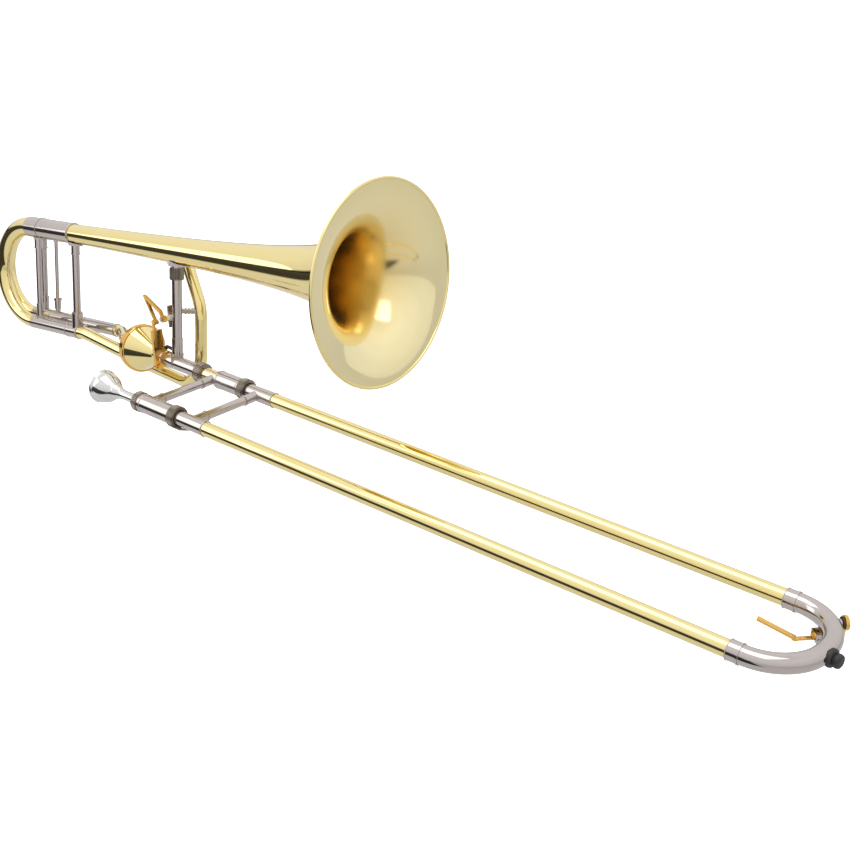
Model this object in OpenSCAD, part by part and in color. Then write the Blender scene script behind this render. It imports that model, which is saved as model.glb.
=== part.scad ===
// Tenor trombone with an axial-flow rotary valve and an open-wrap second loop.
// X runs along the hand slide towards its bow, Z is up, and the mouthpiece side is at -Y.
// The origin is on the bell-side slide tube, in the plane of the inner hand-slide brace.

/* [Hand slide] */
// Distance between the two hand-slide tubes
slide_spacing = 101.3; // [92:0.1:112]
// Distance from the inner brace to the outer brace with the slide closed
brace_gap = 70.4; // [64:0.1:78]
// Distance from the inner brace to the centre of the bow
bow_x = 716.5; // [600:0.5:760]
// Outside diameter of the outer slide tubes
outer_od = 15.8; // [15.2:0.1:17]
// Wall of the outer slide tubes
outer_wall = 0.5; // [0.4:0.05:0.6]
// Wall of the inner slide tubes
inner_wall = 0.45; // [0.4:0.05:0.6]
// Radial running clearance of the hand slide
slide_clearance = 0.06; // [0.03:0.01:0.09]
// Length of the bow ferrules
bow_ferrule_len = 11.6; // [8:0.1:16]
// How far the bow stands out from the outer tubes all round
bow_rise = 0.7; // [0.5:0.05:2]
// Length of the straight stretch across the bow's end
bow_flat = 7.3; // [2:0.1:16]
// Length of the nickel sleeves on the outer slide
outer_sleeve_len = 47.5; // [42:0.5:54]
// Diameter of the hand-slide braces
slide_brace_d = 10; // [8:0.5:11]

/* [Cork barrels and receiver] */
// Front end of the cork barrels
barrel_front_x = 47; // [44:0.5:49]
// Wall of the cork barrels
barrel_wall = 1.5; // [1.3:0.05:2.5]
// How far the knurled rings stand out from the barrels
knurl_rise = 1.8; // [1.5:0.1:3]
// Length of the knurled rings at the barrel fronts
barrel_ring_len = 10; // [9:0.5:12]
// Length of the knurled ring at the mouthpiece receiver
receiver_ring_len = 9; // [8:0.5:10]
// Length of the mouthpiece outside the receiver
mouthpiece_reach = 59.8; // [54:0.1:64]
// Outside diameter of the mouthpiece rim
rim_od = 38.6; // [37:0.1:40]
// Inside diameter of the mouthpiece rim
rim_id = 26; // [25:0.1:27]
// Rear end of the bell lock nut
nut_rear_x = -29; // [-32:0.5:-27]
// Length of the bell lock nut
nut_len = 11; // [10:0.5:12]

/* [Bell section] */
// Where the bell section's axes cross the slide axis
bell_pivot_x = -129.6; // [-140:0.1:-120]
// Angle that the bell rises at its front
bell_tilt = 5.66; // [0:0.01:8]
// Angle that the bell plane leans away from the slide's upright plane
bell_turn = 8.34; // [0:0.01:12]
// Height of the bell axis over the slide axis
bell_height = 126.2; // [118:0.1:136]
// Distance between the two legs of the main tuning slide
leg_spacing = 122.7; // [116:0.1:130]
// Bell diameter over its rim
bell_d = 216; // [190:1:241]
// Distance from the pivot to the bell rim
bell_front = 377.2; // [350:0.1:410]
// Distance from the rim at which the flare opens out
flare_offset = 13.88; // [11:0.01:17]
// Exponent of the flare
flare_power = 0.61; // [0.58:0.01:0.64]
// Wall of the bell
bell_wall = 0.9; // [0.6:0.1:1.2]
// Radius of the wire in the rim
rim_wire_r = 1.7; // [1.4:0.1:2.2]
// Rear end of the neck sleeve
neck_rear = -192.3; // [-200:0.1:-186]
// Front end of the neck sleeve
neck_front = -127.7; // [-134:0.1:-122]
// Outside diameter of the neck sleeve
neck_od = 25.8; // [25:0.1:28]
// Diameter of the main bell brace
main_brace_d = 12; // [10:0.5:13]
// Position of the main bell brace
main_brace_at = 62.4; // [56:0.1:68]
// Position of the rear bell brace
rear_brace_at = -125.9; // [-130:0.1:-124]
// Diameter of the rear bell brace
rear_brace_d = 9.5; // [8:0.5:10]

/* [Main tuning slide] */
// Centre of the tuning crook
crook_at = -216.3; // [-226:0.1:-212]
// Outside diameter of the crook at the bell leg
crook_top_d = 24; // [22:0.1:24.6]
// Outside diameter of the crook at the lower leg
crook_low_d = 15.9; // [15:0.1:16.4]
// Outside diameter of the lower leg
low_leg_od = 16.6; // [16.4:0.1:17.4]
// Front end of the lower leg
low_leg_front = -142.5; // [-150:0.1:-138]
// Front end of the fixed lower sleeve
low_sleeve_front = -120.6; // [-124:0.1:-118]
// Position of the tuning slide brace
tuning_brace_at = -202.6; // [-206:0.1:-200]
// Diameter of the tuning slide braces
tuning_brace_d = 7.6; // [6:0.1:9]

/* [Valve loop] */
// Sideways offset of the loop behind the bell plane
loop_offset = 26; // [24:0.1:32]
// Height of the loop's upper leg
loop_top = 119; // [112:0.1:124]
// Height of the loop's lower leg
loop_low = 8.5; // [4:0.1:14]
// Outside diameter of the loop tube
loop_od = 14.6; // [14:0.1:15.4]
// How far the loop's sleeves and ferrules stand out from its tube
loop_sleeve_rise = 0.6; // [0.5:0.05:1]
// Centre of the loop's tuning crook
loop_crook_at = -249; // [-254:0.5:-244]
// Rear end of the loop's fixed sleeves
loop_sleeve_rear = -212; // [-216:0.5:-208]
// Front end of the loop's upper sleeve
loop_top_front = -120; // [-130:0.5:-110]
// Front end of the loop's lower sleeve
loop_low_front = -80; // [-90:0.5:-76]
// Position of the loop's front upright
loop_front_at = 74.5; // [70:0.1:80]

/* [Valve] */
// Where the gooseneck bends towards the valve
elbow_x = -77.5; // [-82:0.1:-74]
// Angle that the valve axis turns sideways
valve_turn = 11; // [0:0.5:14]
// Angle that the valve axis falls to the rear
valve_lift = 5; // [0:0.5:8]
// Length of the valve cone
cone_len = 36; // [32:0.5:42]
// Radius of the valve cone at its base
cone_r = 27.5; // [27:0.1:30]
// Radius of the gold ring round the valve base
valve_ring_r = 29.5; // [29:0.1:32]
// Length of the gold ring
valve_ring_len = 6; // [5:0.1:8]
// Thickness of the port plate
plate_t = 4; // [3:0.1:6]
// Radius of the circle of ports
port_r = 16.5; // [16:0.1:18]
// Angle of the main port round the valve axis
main_port_angle = 206; // [200:1:212]
// Angle from one port to the next, which is also the rotor's turn
port_step = 66; // [62:1:70]
// Outside diameter of the gooseneck
gooseneck_od = 17; // [16.6:0.1:18]
// Bore of the main tubing
bore_d = 13.9; // [13.4:0.1:14]

/* [Trigger] */
// Radius of the rotor crank
crank_r = 13.4; // [12.9:0.1:14.2]
// Length of the trigger's driven arm
trigger_arm = 20; // [18:0.5:23]
// Height of the trigger's link joint over the valve axis
link_top_z = 46.5; // [44:0.1:50]

/* [Water key and bumper] */
// Angle of the water key round the bow
key_angle = 46; // [36:1:54]
// Depth of the water key's hinge under the slide plane
key_hinge_z = 12.5; // [12:0.1:14]
// Length of the rubber bumper
bumper_len = 9; // [7:0.5:14]
// Angle of the bumper round the bow
bumper_angle = -8; // [-14:1:0]

/* [Hidden] */
$fn = 72;

running_gap = 0.06;                 // radial clearance of the small hinges and tuning legs
part_gap = 0.3;                     // clearance between neighbours that move past each other
bend_lap = 0.25;                    // how far a straight runs into a bend
bend_swell = 0.08;                  // how much thicker a bend is than its straights
near_y = -slide_spacing;            // axis of the mouthpiece-side slide tube
outer_id = outer_od - 2 * outer_wall;
inner_od = outer_id - 2 * slide_clearance;
inner_id = inner_od - 2 * inner_wall;
bow_od = outer_od + 2 * bow_rise;
bow_bend = (slide_spacing - bow_flat) / 2;  // radius of the bow's two corners
outer_sleeve_od = outer_od + 1;
outer_sleeve_x = barrel_front_x + 1;
tube_end_x = bow_x - 26;            // end of the inner slide tubes
barrel_bore = outer_sleeve_od + 2 * part_gap + 0.6;
barrel_od = barrel_bore + 2 * barrel_wall;
knurl_od = barrel_od + 2 * knurl_rise;
receiver_od = 16.5;
receiver_rear_x = -17.5;
receiver_front_x = 4;               // where the near inner tube starts
barrel_rear_x = -6;
far_tube_x = 6;                     // where the far inner tube and its barrel start
nut_front_x = nut_rear_x + nut_len;
thread_front_x = nut_front_x - 6;   // front end of the gooseneck's threaded socket
thread_od = gooseneck_od + 1.4;
collar_t = 2;
shank_in_r = 6.35;                  // mouthpiece shank at the receiver's mouth
shank_end_r = 6.05;                 // mouthpiece shank at its tip
rim_x = receiver_rear_x - mouthpiece_reach;
low_z = bell_height - leg_spacing;  // height of the main lower leg
neck_bore = neck_od - 3.1;
upper_inner_od = neck_bore - 2 * running_gap;
low_inner_od = low_leg_od - 1.3 - 2 * running_gap;
low_sleeve_od = low_leg_od + 0.8;
low_tube_od = 15.8;
loop_sleeve_od = loop_od + 2 * loop_sleeve_rise;
loop_inner_od = loop_sleeve_od - 1.5 - 2 * running_gap;
loop_id = loop_od - 1.4;
loop_mid_z = 58.6;                  // where the loop's front upright starts to lean
loop_lean_x = 46;                   // where the leaning stretch meets the upper leg's line
loop_joint_z = 15;                  // joint between the loop's upper and lower tubes
loop_foot_z = -39;
nose_len = 12.8;                    // fixed nose in front of the valve cone
nose_r = 9.6;
neck_r = 8.2;                       // rotor neck that carries the air and the crank
crank_x = [20.8, 24.6];             // the crank collar along the valve axis
elbow_to_apex = 31;
face_x = -cone_len - valve_ring_len;      // front face of the port plate
rear_x = face_x - plate_t;                // rear face of the port plate
link_x = 17.6;                            // plane of the link's lower joint
link_w = 4.8;
link_t = 2.4;
block_t = 13;                             // width of the link's flat block
block_z = [8.8, 37];                      // the block's foot and top
half_turn = port_step / 2;
link_y = -crank_r * cos(half_turn);
link_low_z = -crank_r * sin(half_turn);
link_slot = crank_r - crank_r * cos(half_turn);   // sideways play that the crank pin needs
slot_gap = 0.2;                           // play of the pin in the slot, up and down
link_top_x = link_x;
trigger_rest = asin(crank_r * sin(half_turn) / trigger_arm);   // the driven arm is this far under the level
trigger_x = link_top_x + trigger_arm * cos(trigger_rest);
trigger_z = link_top_z + trigger_arm * sin(trigger_rest);
trigger_t = 2;
trigger_y = [link_y + link_t / 2 + part_gap, link_y + link_t / 2 + part_gap + 4];
pin_r = 1.5;
cone_slope = (cone_r - nose_r) / cone_len;
rotor_slope = (cone_r - 2 - neck_r) / (cone_len + valve_ring_len);
ports = [for (k = [0, -1, 1]) main_port_angle + k * port_step];   // main, loop lower leg, loop return
port_od = [low_tube_od, loop_od, loop_od];

// ---- vectors -------------------------------------------------------------------------------

function unit(v) = v / norm(v);
function rot_x(a, v) = [v.x, v.y * cos(a) - v.z * sin(a), v.y * sin(a) + v.z * cos(a)];
function rot_y(a, v) = [v.x * cos(a) + v.z * sin(a), v.y, v.z * cos(a) - v.x * sin(a)];
function rot_z(a, v) = [v.x * cos(a) - v.y * sin(a), v.x * sin(a) + v.y * cos(a), v.z];
function bell_pt(v) = [bell_pivot_x, 0, 0] + rot_x(-bell_turn, rot_y(-bell_tilt, v));
function valve_pt(v) = [elbow_x, 0, 0] + rot_z(-valve_turn, rot_y(-valve_lift, v - [elbow_to_apex, 0, 0]));
function port_pt(k, x) = valve_pt([x, port_r * cos(ports[k]), port_r * sin(ports[k])]);
function bell_radius(x) = bell_d / 2 * pow((bell_front - x + flare_offset) / flare_offset, -flare_power);
function bell_slope(x) = flare_power * bell_radius(x) / (bell_front - x + flare_offset);

module bell_frame() {
  translate([bell_pivot_x, 0, 0])
    rotate([-bell_turn, 0, 0])
      rotate([0, -bell_tilt, 0])
        children();
}

module valve_frame() {
  translate([elbow_x, 0, 0])
    rotate([0, -valve_lift, -valve_turn])
      translate([-elbow_to_apex, 0, 0])
        children();
}

module key_frame() {
  translate([bow_x, -bow_bend, 0])
    rotate(key_angle)
      children();
}

// ---- tubes ---------------------------------------------------------------------------------

// A straight tube or rod along X, from x0 to x1.
module tube_x(x0, x1, od, id = 0) {
  translate([x0, 0, 0])
    rotate([0, 90, 0])
      difference() {
        cylinder(h = x1 - x0, d = od);
        if (id > 0) {
          translate([0, 0, -1])
            cylinder(h = x1 - x0 + 2, d = id);
        }
      }
}

// A straight rod along Z.
module rod_z(z0, z1, d) {
  translate([0, 0, z0])
    cylinder(h = z1 - z0, d = d);
}

module ring_face(od, id) {
  difference() {
    circle(d = od);
    if (id > 0) circle(d = id);
  }
}

// Sets local Z along d and local X along a, at the point p.
module place(p, a, d) {
  b = cross(d, a);
  multmatrix([
    [a.x, b.x, d.x, p.x],
    [a.y, b.y, d.y, p.y],
    [a.z, b.z, d.z, p.z]
  ])
    children();
}

function side_of(d) = unit(cross(d, abs(d.z) < 0.9 ? [0, 0, 1] : [0, 1, 0]));

// How much of each leg a bend of radius r takes at corner i.
function corner_cut(pts, r, i) =
  i == 0 || i == len(pts) - 1 ? 0 : r[i] * tan(corner_angle(pts, i) / 2);
function corner_angle(pts, i) =
  acos(max(-1, min(1, unit(pts[i] - pts[i - 1]) * unit(pts[i + 1] - pts[i]))));

// A tube through the points, with a bend of radius r[i] at each inner point.
// A bend is a hair thicker than the straights, which run a little way into it.
module pipe(pts, r, od, id = 0) {
  last = len(pts) - 1;
  for (i = [0 : last - 1]) {
    d = unit(pts[i + 1] - pts[i]);
    from = pts[i] + (corner_cut(pts, r, i) - (i > 0 ? bend_lap : 0)) * d;
    to = pts[i + 1] - (corner_cut(pts, r, i + 1) - (i + 1 < last ? bend_lap : 0)) * d;
    place(from, side_of(d), d)
      difference() {
        cylinder(h = norm(to - from), d = od);
        if (id > 0) {
          translate([0, 0, -1])
            cylinder(h = norm(to - from) + 2, d = id);
        }
      }
  }
  for (i = [1 : 1 : last - 1]) {
    d1 = unit(pts[i] - pts[i - 1]);
    d2 = unit(pts[i + 1] - pts[i]);
    inward = unit(d2 - (d2 * d1) * d1);
    start = pts[i] - corner_cut(pts, r, i) * d1;
    axis = cross(-inward, d1);
    place(start + r[i] * inward, -inward, axis)
      rotate_extrude(angle = corner_angle(pts, i))
        translate([r[i], 0])
          ring_face(od + bend_swell, id > 0 ? id - bend_swell : 0);
  }
}

// A knurled ring along X: shallow grooves run along it.
module knurled_x(x0, x1, od, id, teeth = 40) {
  translate([x0, 0, 0])
    rotate([0, 90, 0])
      difference() {
        union() {
          cylinder(h = x1 - x0, d = od - 1);
          translate([0, 0, 1.2])
            cylinder(h = x1 - x0 - 2.4, d = od);
        }
        translate([0, 0, -1])
          cylinder(h = x1 - x0 + 2, d = id);
        for (k = [0 : teeth - 1])
          rotate(k * 360 / teeth)
            translate([od / 2, 0, -1])
              rotate(45)
                translate([-0.35, -0.35, 0])
                  cube([0.7, 0.7, x1 - x0 + 2]);
      }
}

// An upright brace along Z with a wider socket and a small bead at each end.
module post(z0, z1, d, socket_len = 10, socket_d = 0) {
  wide = socket_d > 0 ? socket_d : d + 1.6;
  rod_z(z0, z1, d);
  rod_z(z0, z0 + socket_len, wide);
  rod_z(z1 - socket_len, z1, wide);
  rod_z(z0 + socket_len, z0 + socket_len + 1.4, wide + 1);
  rod_z(z1 - socket_len - 1.4, z1 - socket_len, wide + 1);
}

// A thin diamond-shaped pad that hugs a tube over a post's end.
module diamond(long, wide, z0, z1) {
  translate([0, 0, z0])
    linear_extrude(z1 - z0)
      polygon([[-long, 0], [0, -wide], [long, 0], [0, wide]]);
}

// ---- bell section --------------------------------------------------------------------------

bell_steps = 40;
function bell_x(i) = bell_front - (bell_front - neck_front) * pow(1 - i / bell_steps, 2);
function bell_outer(i) = [bell_radius(bell_x(i)), bell_x(i)];
function bell_inner(i) =
  let (x = bell_x(i), s = bell_slope(x), n = sqrt(1 + s * s))
  [bell_radius(x) - bell_wall / n, i == 0 ? x : x + bell_wall * s / n];

module bell() {
  color("#d9bf62")
    bell_frame()
      translate([0, 0, bell_height])
        rotate([0, 90, 0])
          rotate_extrude()
            polygon(concat(
              [for (i = [0 : bell_steps]) bell_outer(i)],
              [for (i = [bell_steps : -1 : 0]) bell_inner(i)]
            ));
}

module bell_rim_wire() {
  color("#d9bf62")
    bell_frame()
      translate([bell_front, 0, bell_height])
        rotate([0, 90, 0])
          difference() {
            rotate_extrude()
              translate([bell_d / 2 - rim_wire_r, -rim_wire_r])
                circle(r = rim_wire_r);
            bell_solid(2 * rim_wire_r + 4);
          }
}

// The flare's last stretch, filled, in the rim's own frame.
module bell_solid(depth) {
  rotate_extrude()
    polygon(concat(
      [for (i = [0 : bell_steps]) if (bell_x(i) > bell_front - depth - 20)
        [bell_outer(i).x, bell_outer(i).y - bell_front]],
      [[bell_d / 2, 6], [0, 6], [0, -depth - 20]]
    ));
}

module neck_sleeve() {
  color("#b4ada8")
    bell_frame()
      translate([0, 0, bell_height]) {
        tube_x(neck_rear, neck_front, neck_od, neck_bore);
        tube_x(neck_rear, neck_rear + 1.6, neck_od + 1, neck_bore);
      }
}

module lower_sleeve() {
  color("#b4ada8")
    bell_frame()
      translate([0, 0, low_z])
        tube_x(low_leg_front + part_gap, low_sleeve_front, low_sleeve_od, low_inner_od);
}

module lower_inner_leg() {
  color("#c9c5bf")
    bell_frame()
      translate([0, 0, low_z])
        tube_x(crook_at + 6, low_sleeve_front, low_inner_od, low_inner_od - 1);
}

inlet_points = [
  bell_pt([low_sleeve_front, 0, low_z]),
  bell_pt([low_sleeve_front + 12, 0, low_z]),
  port_pt(0, rear_x - 14),
  port_pt(0, rear_x)
];

module valve_inlet_tube() {
  color("#d9bf62")
    pipe(inlet_points, [0, 40, 40, 0], low_tube_od, low_tube_od - 1.6);
}

module rear_bell_brace() {
  color("#b4ada8")
    bell_frame()
      difference() {
        translate([rear_brace_at, 0, 0]) {
          post(low_z, bell_height, rear_brace_d, 24, rear_brace_d + 1);
          rod_z(low_z, low_z + 24, 14);
          diamond(15, 9, bell_height - neck_od / 2 - 1.4, bell_height);
        }
        translate([0, 0, bell_height])
          tube_x(neck_rear, 0, neck_od);
        translate([0, 0, low_z])
          tube_x(-170, -80, low_sleeve_od);
      }
}

main_brace_top = bell_height - bell_radius(main_brace_at);

module main_bell_brace() {
  color("#b4ada8")
    difference() {
      bell_frame()
        translate([main_brace_at, 0, 0]) {
          rod_z(-8, main_brace_top - 4, main_brace_d);
          rod_z(-8, 24, main_brace_d + 1);
          diamond(9.5, 10, -8, 4.5);
        }
      gooseneck_solid();
    }
}

module brace_collar() {
  color("#9b948e")
    bell_frame()
      translate([main_brace_at, 0, 0])
        rotate([0, -90, 0])
          knurled_x(main_brace_top - 18, main_brace_top - 4, main_brace_d + 5, main_brace_d, 28);
}

module bell_flange() {
  color("#b4ada8")
    bell_frame()
      difference() {
        translate([main_brace_at, 0, 0]) {
          rod_z(main_brace_top - 4, main_brace_top + 10, main_brace_d + 1);
          diamond(17, 12, main_brace_top - 1.8, main_brace_top + 10);
        }
        translate([0, 0, bell_height])
          rotate([0, 90, 0])
            rotate_extrude()
              polygon(concat(
                [for (i = [0 : bell_steps]) bell_outer(i)],
                [[0, bell_front], [0, neck_front]]
              ));
      }
}

gooseneck_points = [
  [thread_front_x, 0, 0],
  [elbow_x, 0, 0],
  valve_pt([crank_x[1] + part_gap, 0, 0])
];

module gooseneck_solid() {
  pipe(gooseneck_points, [0, 30, 0], gooseneck_od);
}

module gooseneck() {
  color("#b4ada8") {
    pipe(gooseneck_points, [0, 30, 0], gooseneck_od, bore_d);
    tube_x(nut_rear_x + 1, thread_front_x, thread_od, gooseneck_od - 1);
  }
}

module bell_lock_nut() {
  color("#9b948e")
    difference() {
      knurled_x(nut_rear_x, nut_front_x, knurl_od - 1, receiver_od + 2 * running_gap, 36);
      tube_x(nut_rear_x - 1, thread_front_x + collar_t + part_gap, thread_od + 2 * running_gap);
    }
}

// ---- main tuning slide ---------------------------------------------------------------------

crook_rings = 24;
crook_sides = 28;
crook_wall = 0.8;
function crook_r(t) = (crook_top_d + (crook_low_d - crook_top_d) * t) / 2;
function crook_point(t, r, a) =
  let (b = 90 + 180 * t, reach = leg_spacing / 2 + r * cos(a))
  [crook_at + reach * cos(b), r * sin(a), bell_height - leg_spacing / 2 + reach * sin(b)];
crook_outside = [for (k = [0 : crook_rings], s = [0 : crook_sides - 1])
  crook_point(k / crook_rings, crook_r(k / crook_rings), s * 360 / crook_sides)];
crook_inside = [for (k = [0 : crook_rings], s = [0 : crook_sides - 1])
  crook_point(k / crook_rings, crook_r(k / crook_rings) - crook_wall, s * 360 / crook_sides)];
crook_count = (crook_rings + 1) * crook_sides;
function crook_id(k, s) = k * crook_sides + s % crook_sides;
crook_faces = concat(
  [for (k = [0 : crook_rings - 1], s = [0 : crook_sides - 1])
    [crook_id(k, s), crook_id(k, s + 1), crook_id(k + 1, s + 1), crook_id(k + 1, s)]],
  [for (k = [0 : crook_rings - 1], s = [0 : crook_sides - 1])
    [for (p = [crook_id(k + 1, s), crook_id(k + 1, s + 1), crook_id(k, s + 1), crook_id(k, s)])
      p + crook_count]],
  [for (s = [0 : crook_sides - 1])
    [crook_id(0, s + 1), crook_id(0, s), crook_id(0, s) + crook_count, crook_id(0, s + 1) + crook_count]],
  [for (s = [0 : crook_sides - 1])
    [crook_id(crook_rings, s), crook_id(crook_rings, s + 1),
     crook_id(crook_rings, s + 1) + crook_count, crook_id(crook_rings, s) + crook_count]]
);

module tuning_crook() {
  color("#d9bf62")
    bell_frame()
      polyhedron(points = concat(crook_outside, crook_inside), faces = crook_faces, convexity = 6);
}

module tuning_upper_leg() {
  color("#b4ada8")
    bell_frame()
      translate([0, 0, bell_height]) {
        tube_x(crook_at, neck_rear - part_gap, neck_od, upper_inner_od - 1.2);
        tube_x(neck_rear - part_gap, neck_front - 8, upper_inner_od, upper_inner_od - 1.2);
      }
}

module tuning_lower_leg() {
  color("#b4ada8")
    bell_frame()
      translate([0, 0, low_z])
        tube_x(crook_at, low_leg_front, low_leg_od, low_inner_od + 2 * running_gap);
}

module tuning_brace() {
  color("#b4ada8")
    bell_frame()
      difference() {
        translate([tuning_brace_at, 0, 0]) {
          post(low_z, bell_height, tuning_brace_d, 24);
          diamond(9, 7, bell_height - neck_od / 2 - 1.2, bell_height);
          diamond(10, 6, low_z, low_z + low_leg_od / 2 + 1.2);
        }
        translate([0, 0, bell_height])
          tube_x(crook_at - 10, neck_rear + 10, neck_od);
        translate([0, 0, low_z])
          tube_x(crook_at - 10, low_leg_front, low_leg_od);
      }
}

// ---- valve loop ----------------------------------------------------------------------------

loop_r = (loop_top - loop_low) / 2;

module loop_frame(z = 0) {
  bell_frame()
    translate([0, loop_offset, z])
      children();
}

module loop_crook() {
  color("#d9bf62")
    loop_frame(loop_low + loop_r)
      translate([loop_crook_at, 0, 0])
        rotate([90, 0, 0])
          rotate_extrude(angle = 180, start = 90)
            translate([loop_r, 0])
              ring_face(loop_od, loop_id);
}

module loop_slide_legs() {
  color("#c9c5bf")
    for (z = [loop_low, loop_top])
      loop_frame(z)
        tube_x(loop_crook_at, loop_sleeve_rear + 74, loop_inner_od, loop_inner_od - 1);
}

module loop_ferrules() {
  color("#b4ada8")
    for (z = [loop_low, loop_top])
      loop_frame(z) {
        tube_x(loop_crook_at, loop_sleeve_rear - part_gap, loop_sleeve_od, loop_inner_od);
      }
}

module loop_slide_brace() {
  color("#b4ada8")
    difference() {
      loop_frame()
        translate([loop_sleeve_rear - 15.5, 0, 0])
          post(loop_low, loop_top, tuning_brace_d, 22);
      for (z = [loop_low, loop_top])
        loop_frame(z)
          tube_x(loop_crook_at - 5, loop_sleeve_rear + 5, loop_sleeve_od);
    }
}

module loop_sleeves() {
  color("#b4ada8") {
    loop_frame(loop_top)
      tube_x(loop_sleeve_rear, loop_top_front, loop_sleeve_od, loop_inner_od + 2 * running_gap);
    loop_frame(loop_low)
      tube_x(loop_sleeve_rear, loop_low_front, loop_sleeve_od, loop_inner_od + 2 * running_gap);
  }
}

module sleeve_rod() {
  color("#b4ada8")
    difference() {
      loop_frame()
        translate([loop_sleeve_rear + 11, 0, 0]) {
          rod_z(loop_low, loop_top, 4.6);
          rod_z(loop_low, loop_low + 11, 6.6);
          rod_z(loop_low + 11, loop_low + 22, 8.6);
          rod_z(loop_low + 22, loop_low + 24.6, 10.4);
          rod_z(loop_top - 12, loop_top, 6.4);
        }
      for (z = [loop_low, loop_top])
        loop_frame(z)
          tube_x(loop_sleeve_rear, loop_low_front, loop_sleeve_od);
    }
}

module cross_ties() {
  color("#b4ada8")
    difference() {
      bell_frame() {
        tie([-160, 0, bell_height - 2], [-160, loop_offset, loop_top]);
        tie([-132, 0, low_z], [-132, loop_offset, loop_low]);
      }
      bell_frame()
        translate([0, 0, bell_height])
          tube_x(neck_rear, neck_front, neck_od);
      bell_frame()
        translate([0, 0, low_z])
          tube_x(low_leg_front, low_sleeve_front, low_sleeve_od);
      for (z = [loop_low, loop_top])
        loop_frame(z)
          tube_x(loop_sleeve_rear, loop_low_front, loop_sleeve_od);
    }
}

// A short turned tie between two points, with a groove at its middle.
module tie(a, b, d = 6) {
  v = unit(b - a);
  l = norm(b - a);
  place(a, side_of(v), v) {
    rod_z(0, l, d);
    for (s = [-4, 0, 4])
      rod_z(l / 2 + s - 0.8, l / 2 + s + 0.8, d + 1.6);
  }
}

loop_upper_points = [
  bell_pt([loop_top_front, loop_offset, loop_top]),
  bell_pt([loop_lean_x, loop_offset, loop_top]),
  bell_pt([loop_front_at, loop_offset, loop_mid_z]),
  bell_pt([loop_front_at, loop_offset, loop_joint_z])
];
loop_upper_bends = [0, 25, 60, 0];

module loop_upper_tube() {
  color("#d9bf62")
    pipe(loop_upper_points, loop_upper_bends, loop_od, loop_id);
}

module loop_lower_tube() {
  color("#d9bf62")
    pipe([
      bell_pt([loop_front_at, loop_offset, loop_joint_z]),
      bell_pt([loop_front_at, loop_offset, loop_foot_z]),
      valve_pt([rear_x - 30, 22, -35]),
      port_pt(2, rear_x - 30),
      port_pt(2, rear_x)
    ], [0, 40, 13.5, 13.5, 0], loop_od, loop_id);
}

module loop_port_tube() {
  color("#d9bf62")
    pipe([
      bell_pt([loop_low_front, loop_offset, loop_low]),
      bell_pt([loop_low_front + 9, loop_offset, loop_low]),
      port_pt(1, rear_x - 13),
      port_pt(1, rear_x)
    ], [0, 25, 25, 0], loop_od, loop_id);
}

module loop_tie() {
  color("#b4ada8")
    difference() {
      bell_frame()
        tie([main_brace_at, 0, 56], [loop_front_at, loop_offset, 54]);
      bell_frame()
        translate([main_brace_at, 0, 0])
          rod_z(20, 90, main_brace_d);
      pipe(loop_upper_points, loop_upper_bends, loop_od);
    }
}

// ---- valve ---------------------------------------------------------------------------------

// A turned shape about the valve axis, from [radius, x] points.
module turned(points) {
  rotate([0, 90, 0])
    rotate_extrude()
      polygon(points);
}

function rotor_surface(x) = neck_r - rotor_slope * x;

module valve_casing() {
  color("#d9bf62")
    valve_frame()
      turned([
        [nose_r, nose_len], [nose_r, 0], [cone_r, -cone_len], [cone_r, face_x],
        [rotor_surface(face_x) + running_gap, face_x], [neck_r + running_gap, 0],
        [neck_r + running_gap, nose_len]
      ]);
}

module valve_ring() {
  color("#cf8f27")
    valve_frame()
      turned([
        [cone_r, face_x], [valve_ring_r - 0.8, face_x], [valve_ring_r, face_x + 1],
        [valve_ring_r, -cone_len - 1], [valve_ring_r - 0.8, -cone_len], [cone_r, -cone_len]
      ]);
}

module port_plate() {
  color("#cf8f27")
    valve_frame()
      difference() {
        tube_x(rear_x, face_x, 2 * valve_ring_r - 1.6);
        for (a = ports)
          translate([0, port_r * cos(a), port_r * sin(a)])
            tube_x(rear_x - 1, face_x + 1, loop_id);
        tube_x(rear_x - 1, face_x + 1, 10);
      }
}

module port_ferrules() {
  color("#b4ada8")
    difference() {
      valve_frame()
        for (k = [0 : 2])
          translate([0, port_r * cos(ports[k]), port_r * sin(ports[k])])
            tube_x(rear_x - 7, rear_x, port_od[k] + 1.4, port_od[k]);
    }
}

module axle_bush() {
  color("#cf8f27")
    valve_frame() {
      tube_x(rear_x, face_x, 10, 6 + 2 * running_gap);
      tube_x(rear_x - 3, rear_x, 12, 6 + 2 * running_gap);
    }
}

module rotor() {
  passage = bore_d - 1.4;
  color("#c9c5bf")
    valve_frame()
      difference() {
        union() {
          turned([
            [0, crank_x[1]], [neck_r, crank_x[1]], [neck_r, 0],
            [rotor_surface(face_x + part_gap), face_x + part_gap], [0, face_x + part_gap]
          ]);
          tube_x(rear_x - 2, face_x + part_gap + 1, 6);
        }
        tube_x(-6, crank_x[1] + 1, bore_d - 0.5);
        rotor_way(main_port_angle, passage);
        for (k = [1, 2])
          rotate([main_port_angle + k * port_step - 90, 0, 0])
            translate([0, 0, port_r])
              tube_x(face_x - 1, face_x + 12, passage);
        rotate([main_port_angle + 1.5 * port_step - 90, 0, 0])
          translate([face_x + 9, -8, port_r - 2])
            rotate([-90, 0, 0])
              cylinder(h = 16, d = 8);
      }
}

// The slanted way from the rotor's neck to the port circle at angle a.
module rotor_way(a, d) {
  from = [-3, 0, 0];
  to = [face_x - 1, port_r * cos(a), port_r * sin(a)];
  v = unit(to - from);
  place(from, side_of(v), v)
    cylinder(h = norm(to - from) + 6, d = d);
}

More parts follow.
